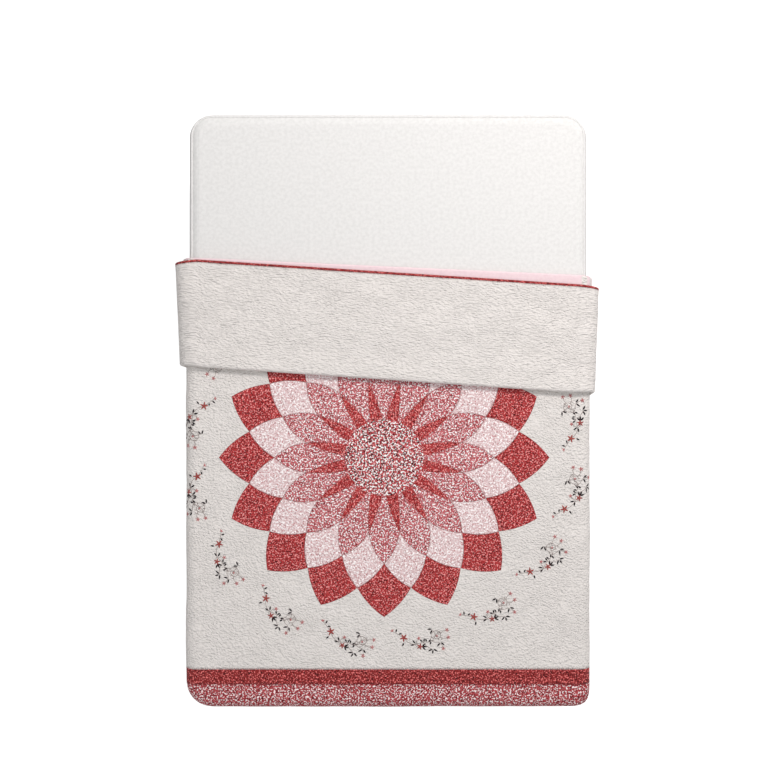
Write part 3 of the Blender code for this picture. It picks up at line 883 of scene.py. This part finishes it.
def binding_foot(beyond, height):
    """The edge of the foot from the left inset line, down, across the hem and up, at a profile point."""
    left, right = face_columns[0], face_columns[-1]
    rows = spread_steps((FOOT_EDGE_START, FOOT_HEM, EDGE_PITCH))
    left_x, left_y = foot_points(np.full_like(rows, left), rows)
    hem_x, hem_y = foot_points(face_columns[1:-1], np.full(len(face_columns) - 2, FOOT_HEM))
    right_x, right_y = foot_points(np.full_like(rows, right), rows[::-1])
    x, y = np.concatenate([left_x, hem_x, right_x]), np.concatenate([left_y, hem_y, right_y])
    run_x, run_y = np.gradient(x), np.gradient(y)
    length = np.hypot(run_x, run_y)
    x, y = x + beyond * run_y / length, y - beyond * run_x / length
    return drape(x, y, MID_HEIGHT + height + lie(x, y))


def binding_free(beyond, height):
    """The free edge from the right corner to the left one, with the corners, at a profile point."""
    x = face_columns[::-1].copy()
    x[[0, -1]] = [side * (INSET_X + float(hem_distance(side)) + beyond) for side in (1.0, -1.0)]
    y, level = folded_rows(x, -INSET_Y, COARSE_PITCH, COARSE_PITCH)
    y_edge = y[-1] + beyond
    return drape(x, y_edge, level[-1] + height + lie(x, y_edge))


def binding_line(beyond, height):
    """The whole edge at a profile point, as its foot, right side, free edge and left side."""
    left, right = binding_side(-1.0, beyond, height), binding_side(1.0, beyond, height)
    return [binding_foot(beyond, height), right, binding_free(beyond, height), left[::-1]]


def path_lengths(line):
    """Distance along a line of points from its first."""
    return np.concatenate([[0.0], np.cumsum(np.linalg.norm(np.diff(line, axis=0), axis=1))])


rings = []
for beyond, height in BINDING_PROFILE:
    foot_edge, right_edge, free_edge, left_edge = binding_line(beyond, height)
    rings.append(np.concatenate([foot_edge, right_edge[:-1], free_edge, left_edge[1:]]))
binding_uv = [(along, PROFILE_STEP * i) for i in range(len(rings)) for along in path_lengths(rings[0])]
binding_faces = [(a, d, c, b) for a, b, c, d in ring_faces(len(rings), len(rings[0]), True)]
binding = add_piece("binding_strip", np.concatenate(rings), binding_faces, stripe_print, binding_uv)
hand_over(binding, "binding")

# The medallion: a sixteen-point dahlia pieced from four rings of curved patches and a middle disc. Each
# patch is quilted, so that it stands up between its seams, which lie in ditches of painted shade.
POINTS = 16
HALF_TURN = math.pi / POINTS
MEDALLION_RADIUS = 0.564
MEDALLION_SQUASH = 0.965
RING_RADII = (1.0, 0.833, 0.664, 0.48, 0.190, 0.10)
RING_BOWS = (0.060, 0.070, 0.085, 0.035, 0.0)
DISC_RADIUS = 0.238
PATCH_EDGE = 0.0003
PATCH_PUFF = 0.0007
PATCH_CELLS = 12
PATCH_SHARP = math.radians(40)
PATCH_GAP = 0.002
PATCH_FOOT = -0.0004
# How far in each patch's rim strip runs, which carries the painted shade of its ditch.
DITCH_SHARE = 0.009
DISC_LIFT = 0.0012
DISC_FOOT = -0.0003
DISC_HOLE = 0.04
DISC_RINGS = 14
DISC_SPOKES = 64


def medallion_place(radius, turn):
    """A point of the medallion on the flat cloth, its turn measured from straight down."""
    reach = radius * MEDALLION_RADIUS
    x, y = SPREAD_MIDDLE
    return stacked(x + reach * np.sin(turn), y - MEDALLION_SQUASH * reach * np.cos(turn))


def bowed(start, end, bow, share):
    """How far an edge stands out from its chord at a share of it, away from the medallion's middle."""
    chord = end - start
    normal = np.array([chord[1], -chord[0]])
    if np.dot(normal, (start + end) / 2 - np.array(SPREAD_MIDDLE)) < 0:
        normal = -normal
    return (4 * bow * share * (1 - share))[..., None] * normal


def patch_place(ring, base, a, b):
    """A point of a patch: a and b run along its two outer edges from its tip."""
    tip = medallion_place(RING_RADII[ring], base)
    right = medallion_place(RING_RADII[ring + 1], base + HALF_TURN)
    left = medallion_place(RING_RADII[ring + 1], base - HALF_TURN)
    inner = medallion_place(RING_RADII[ring + 2], base)
    outer_bow, inner_bow = RING_BOWS[ring], RING_BOWS[ring + 1]
    across, along = a[..., None], b[..., None]
    place = (1 - across) * (1 - along) * tip + across * (1 - along) * right
    place = place + (1 - across) * along * left + across * along * inner
    place = place + (1 - along) * bowed(tip, right, outer_bow, a) + along * bowed(left, inner, inner_bow, a)
    place = place + (1 - across) * bowed(tip, left, outer_bow, b) + across * bowed(right, inner, inner_bow, b)
    return place[..., 0], place[..., 1]


def lay(x, y, height):
    """A place on the cloth's face from flat coordinates, following its puckers."""
    return drape(x, y, MID_HEIGHT + face + height + pucker(x, y) + lie(x, y))


def add_patches(name, rings, material):
    """All the patches of some rings as one piece: puffed tops, short sides and closed undersides, with
    painted shade on their rims.
    """
    inside = np.linspace(DITCH_SHARE, 1 - DITCH_SHARE, PATCH_CELLS + 1)
    share = np.concatenate([[PATCH_GAP], inside, [1 - PATCH_GAP]])
    a, b = np.meshgrid(share, share, indexing="ij")
    puff = PATCH_EDGE + PATCH_PUFF * (16 * a * (1 - a) * b * (1 - b)) ** 0.5
    side = len(share)
    index = np.arange(side * side).reshape(side, side)
    row, column = np.divmod(np.arange((side - 1) ** 2), side - 1)
    # The faces of the outer strip, which get the painted shade of the seam ditches.
    in_ditch_shade = (np.minimum(row, column) == 0) | (np.maximum(row, column) == side - 2)
    rim = np.concatenate([index[0, :-1], index[:-1, -1], index[-1, :0:-1], index[:0:-1, 0]])
    count = len(rim)
    points, uv, faces, looks = [], [], [], []
    for ring in rings:
        for k in range(POINTS):
            start = sum(len(part) for part in points)
            foot = start + side * side
            x, y = patch_place(ring, (2 * k + ring % 2) * HALF_TURN, a, b)
            flat = stacked(x, y).reshape(-1, 2)
            points += [lay(x, y, puff).reshape(-1, 3), lay(x, y, PATCH_FOOT).reshape(-1, 3)[rim]]
            uv += [flat, flat[rim]]
            faces += [tuple(start + corner for corner in quad) for quad in grid_faces(side, side, False)]
            for i, n in zip(range(count), [*range(1, count), 0]):
                faces.append((start + rim[i], start + rim[n], foot + n, foot + i))
            faces.append(tuple(range(foot, foot + count)))
            looks += [*in_ditch_shade.astype(int), *[1] * (count + 1)]
    piece = add_piece(name, np.concatenate(points), faces, material, np.concatenate(uv))
    piece.data.materials.append(ditch_shade_cloth)
    piece.data.polygons.foreach_set("material_index", looks)
    settle_normals(piece)
    hand_over(piece)


def settle_normals(piece):
    """Turns every closed shell's faces outwards, and keeps its rim sharp."""
    shell = bmesh.new()
    shell.from_mesh(piece.data)
    bmesh.ops.recalc_face_normals(shell, faces=shell.faces)
    shell.to_mesh(piece.data)
    shell.free()
    piece.data.update()
    piece.data.set_sharp_from_angle(angle=PATCH_SHARP)


# Painted shade for the seam ditches: a dark rose cloth on each patch's rim strip, short sides and underside.
ditch_shade_cloth, _, ditch_shade_shader = new_material("patch_ditch", roughness=0.9)
ditch_shade_shader.inputs["Base Color"].default_value = (0.20, 0.035, 0.038, 1.0)
add_patches("outer_kites", [0], red_print)
add_patches("inner_darts", [3], red_print)
add_patches("pale_kites", [1], pale_print)
add_patches("rose_petals", [2], pink_print)


def add_disc():
    turns = np.linspace(0, 2 * math.pi, DISC_SPOKES, endpoint=False)
    points, uv = [], []
    for i, share in enumerate([*np.linspace(DISC_HOLE, 1.0, DISC_RINGS), 1.0]):
        flat = medallion_place(DISC_RADIUS * share, turns)
        lift = DISC_FOOT if i == DISC_RINGS else DISC_LIFT + PATCH_PUFF * (1 - share**6)
        points.append(lay(flat[:, 0], flat[:, 1], lift))
        uv.append(flat)
    faces = ring_faces(DISC_RINGS + 1, DISC_SPOKES)
    faces += [tuple(range(first, first + DISC_SPOKES)) for first in (0, DISC_RINGS * DISC_SPOKES)]
    piece = add_piece("middle_disc", np.concatenate(points), faces, disc_print, np.concatenate(uv))
    settle_normals(piece)
    hand_over(piece)


add_disc()

# The sprigs: copies of one embroidered spray round the medallion, less the two that the flap would cover,
# with satin-stitched leaves and stars on thin stems. The spray is drawn flat, in millimetres right of and
# below its star.
SPRIG_RADIUS = 0.641
SPRIG_TURN = math.radians(6.0)
STEMS = [
    [(-38, -22), (-28, -18), (-16, -10), (-5, -3)],
    [(4, 4), (13, 14), (26, 21), (40, 23), (54, 19), (70, 14), (84, 15), (95, 11), (103, 2)],
    [(66, 15), (74, 25), (84, 33), (99, 41)],
    [(38, 23), (48, 33), (58, 31)],
    [(44, 22), (44, 10), (52, 4)],
    [(103, 2), (107, -10), (103, -20), (94, -27)],
    [(95, 11), (108, 15), (120, 16), (130, 25), (135, 37)],
    [(128, -1), (138, 2), (152, -2)],
    [(124, -14), (134, -24), (147, -28)],
]
CURLS = [
    ((112, -9), 19, 150, 520, 0.55),
    ((114, -7), 8, 330, 20, 0.4),
    ((97, 3), 8, 30, 330, 0.35),
    ((126, 4), 8, 150, 430, 0.35),
    ((120, -22), 7, 200, -60, 0.4),
]
LEAVES = [
    *((-27, -18, -80, 13), (-18, -12, -20, 12), (1, 17, 118, 14), (41, 22, -130, 17), (38, 24, 170, 15)),
    *((68, 15, -78, 13), (66, 14, -150, 13), (78, 14, -108, 11), (62, 31, -42, 17), (62, 31, 0, 17)),
    *((62, 31, 42, 17), (84, 16, -50, 13), (93, 12, 104, 12), (97, -31, 176, 17), (97, -30, 112, 17)),
    *((126, 16, 36, 16), (124, 17, 126, 17), (100, 39, 28, 18), (100, 41, 96, 15), (99, 39, 152, 18)),
]
STARS = [(0, 0, 5, 20, 8.4, 20), (55, 31, 5, 16, 7.2, 70)]
BUDS = [
    *((-38, -22, 3, 12, 5.2, 200), (51, 2, 5, 10, 4.8, 250), (147, -28, 5, 11, 4.9, 10)),
    *((152, -2, 5, 11, 4.9, 40), (135, 38, 5, 11, 4.9, 65), (113, -7, 5, 7, 3.2, 330)),
]
HIDDEN_SPRIGS = (7, 8)
SPRIG_TURNS = [2 * HALF_TURN * copy for copy in range(POINTS) if copy not in HIDDEN_SPRIGS]
LEAF_WIDTH = 8.0
LEAF_GROWTH = 1.12
PETAL_CROSSING = 0.16
BUD_SPREAD = 42
THREAD_HEIGHT = 0.0009
STEM_HEIGHT = 0.0003
STEM_RADIUS = 0.00062
STEM_SIDES = 6
CURL_STEPS = 22


def sprig_places(points, turn):
    """Flat cloth places of sprig points, in metres, for the copy at a turn."""
    points = np.asarray(points, float) / 1000
    x = SPRIG_RADIUS * math.sin(SPRIG_TURN) + points[..., 0]
    y = -SPRIG_RADIUS * math.cos(SPRIG_TURN) - points[..., 1]
    turned_x, turned_y = x * math.cos(turn) - y * math.sin(turn), x * math.sin(turn) + y * math.cos(turn)
    return stacked(SPREAD_MIDDLE[0] + turned_x, SPREAD_MIDDLE[1] + MEDALLION_SQUASH * turned_y)


def scatter_tree():
    """A Geometry Nodes tree that sets a flat leaf on every point, turned and sized by its attributes."""
    inputs = {"Geometry": ("Geometry",), "Leaf": ("Object",), "Material": ("Material",)}
    tree, source, result = new_group("leaves on points", "Geometry", inputs, {"Geometry": "Geometry"})
    shape = add_node(tree, "GeometryNodeObjectInfo", {"Object": source["Leaf"]}).outputs["Geometry"]
    attributes = [
        add_node(tree, "GeometryNodeInputNamedAttribute", {"Name": name}, data_type="FLOAT_VECTOR")
        for name in ("turn", "size")
    ]
    turn, size = (node.outputs["Attribute"] for node in attributes)
    rotation = add_node(tree, "FunctionNodeEulerToRotation", {"Euler": turn}).outputs["Rotation"]
    placing = {"Points": source["Geometry"], "Instance": shape, "Rotation": rotation, "Scale": size}
    placed = add_node(tree, "GeometryNodeInstanceOnPoints", placing)
    finish_tree(tree, placed.outputs["Instances"], source["Material"], result)
    return tree


def leaf_object():
    """A leaf one unit long from its base and one unit wide, raised along its middle and closed underneath."""
    outline = [(0.0, 0.0), (0.18, 0.30), (0.42, 0.5), (0.72, 0.36), (1.0, 0.0)]
    outline += [(x, -y) for x, y in outline[-2:0:-1]]
    points = [(x, y, -0.35) for x, y in outline] + [(0.2, 0, 0.8), (0.45, 0, 1.0), (0.75, 0, 0.8)]
    faces = [tuple(range(8)), (0, 8, 1), (1, 8, 9, 2), (2, 9, 10, 3), (3, 10, 4)]
    faces += [(4, 10, 5), (5, 10, 9, 6), (6, 9, 8, 7), (7, 8, 0)]
    mesh = bpy.data.meshes.new("leaf")
    mesh.from_pydata(points, [], [face[::-1] for face in faces])
    return bpy.data.objects.new("leaf", mesh)


def thread(name, colour, shade):
    """Satin-stitch thread, glossy along its strands."""
    material, tree, shader = new_material(name, roughness=0.45, sheen=0.2)
    place = add_node(tree, "ShaderNodeTexCoord").outputs["Object"]
    strands = noise(tree, place, scale=420.0, detail=2.0).outputs["Fac"]
    tone = two_tones(tree, strands, 0.38, shade, 0.60, colour)
    relief = add_bump(tree, strands, strength=0.5, distance=0.0004)
    feed(tree, shader, {"Base Color": tone, "Normal": relief})
    return material


leaf_thread = thread("leaf_thread", (0.016, 0.005, 0.007), (0.006, 0.002, 0.003))
star_thread = thread("star_thread", (0.42, 0.080, 0.062), (0.22, 0.030, 0.028))
bud_thread = thread("bud_thread", (0.60, 0.24, 0.23), (0.36, 0.10, 0.10))
stem_thread = thread("stem_thread", (0.26, 0.19, 0.17), (0.13, 0.09, 0.085))

scatter = scatter_tree()
leaf = leaf_object()


def add_leaves(name, leaves, material):
    """Leaves given as (x, y, direction, length, width) in sprig millimetres, on every copy of the sprig."""
    places, turns, sizes = [], [], []
    for turn in SPRIG_TURNS:
        for x, y, direction, length, width in leaves:
            places.append((*sprig_places((x, y), turn), 0.0))
            turns.append((0.0, 0.0, turn - math.radians(direction)))
            sizes.append((length / 1000, width / 1000, THREAD_HEIGHT))
    thing = mesh_object(name, places)
    for label, values in (("turn", turns), ("size", sizes)):
        attribute = thing.data.attributes.new(label, "FLOAT_VECTOR", "POINT")
        attribute.data.foreach_set("vector", np.array(values, np.float32).ravel())
    lay_flat_mesh(run_tree(thing, scatter, {"Leaf": leaf, "Material": material}))


def lay_flat_mesh(piece):
    """Moves a flat mesh onto the cloth's face, each vertex by its own place."""
    flat = np.empty(len(piece.data.vertices) * 3, np.float32)
    piece.data.vertices.foreach_get("co", flat)
    flat = flat.reshape(-1, 3).astype(float)
    laid = lay(flat[:, 0], flat[:, 1], flat[:, 2])
    piece.data.vertices.foreach_set("co", laid.astype(np.float32).ravel())
    piece.data.update()
    hand_over(piece)


def petals(flowers):
    """Petals of flowers given as (x, y, petals, length, width, first direction), crossing at the middle."""
    made = []
    for x, y, count, length, width, start in flowers:
        back = PETAL_CROSSING * length
        for i in range(count):
            degrees = start + (360 / count if count > 3 else BUD_SPREAD) * i
            direction = math.radians(degrees)
            start_x, start_y = x - back * math.cos(direction), y - back * math.sin(direction)
            made.append((start_x, start_y, degrees, length, width))
    return made


whole_leaves = [(x, y, direction, length * LEAF_GROWTH, LEAF_WIDTH) for x, y, direction, length in LEAVES]
add_leaves("sprig_leaves", whole_leaves, leaf_thread)
add_leaves("sprig_stars", petals(STARS), star_thread)
add_leaves("sprig_buds", petals(BUDS), bud_thread)


def curl_points(middle, radius, start, end, shrink):
    """A spiral that closes in from its start to its end, in degrees."""
    turns = np.radians(np.linspace(start, end, CURL_STEPS))
    reach = radius * np.linspace(1, shrink, CURL_STEPS)
    return stacked(middle[0] + reach * np.cos(turns), middle[1] + reach * np.sin(turns))


def smooth_points(points, steps=5):
    """A soft curve through points, by Catmull-Rom."""
    points = np.asarray(points, float)
    padded = np.concatenate([[2 * points[0] - points[1]], points, [2 * points[-1] - points[-2]]])
    share = np.linspace(0, 1, steps, endpoint=False)[:, None]
    pieces = []
    for p0, p1, p2, p3 in zip(padded, padded[1:], padded[2:], padded[3:]):
        bend, twist = 2 * p0 - 5 * p1 + 4 * p2 - p3, 3 * p1 - p0 - 3 * p2 + p3
        pieces.append(p1 + 0.5 * ((p2 - p0) * share + bend * share**2 + twist * share**3))
    return np.concatenate([*pieces, points[-1:]])


stem_lines = []
for turn in SPRIG_TURNS:
    for line in [smooth_points(stem) for stem in STEMS] + [curl_points(*curl) for curl in CURLS]:
        flat = sprig_places(line, turn)
        stem_lines.append(np.column_stack([flat, np.full(len(flat), STEM_HEIGHT)]))
lay_flat_mesh(add_cords("sprig_stems", stem_lines, False, STEM_RADIUS, STEM_SIDES, stem_thread))

# The sewing: a running stitch in dark red thread just inside the binding, and one each side of the foot's
# seams.
STITCH_LENGTH = 0.0042
STITCH_PITCH = 0.0075
STITCH_RADIUS = 0.0004
STITCH_SIDES = 5
STITCH_RISE = 0.0002
FROM_BINDING = 0.0022
FROM_SEAM = 0.0028
SEAM_PITCH = 0.012


def dashes(line):
    """Short stitches along a line of points in space, each three points long."""
    along = path_lengths(line)
    made = []
    for start in np.arange(STITCH_PITCH, along[-1] - STITCH_PITCH, STITCH_PITCH):
        places = start + STITCH_LENGTH * np.array([0.0, 0.5, 1.0])
        made.append(stacked(*(np.interp(places, along, line[:, k]) for k in range(3))))
    return made


def seam_line(row):
    """A line across the foot's face at a row, its points as close as the cloth's folds need."""
    columns = cloth_columns(SEAM_PITCH, SEAM_PITCH)
    x, y = foot_points(columns, np.full_like(columns, row))
    return lay(x, y, STITCH_RISE)


thread_lines = binding_line(-FROM_BINDING, face + STITCH_RISE)
for seam in (STRIPE_TOP, STRIPE_END, BAND_END):
    thread_lines += [seam_line(seam - FROM_SEAM), seam_line(seam + FROM_SEAM)]
red_thread = thread("red_thread", (0.36, 0.05, 0.06), (0.22, 0.02, 0.03))
stitch_lines = [dash for line in thread_lines for dash in dashes(line)]
hand_over(add_cords("stitches", stitch_lines, False, STITCH_RADIUS, STITCH_SIDES, red_thread))
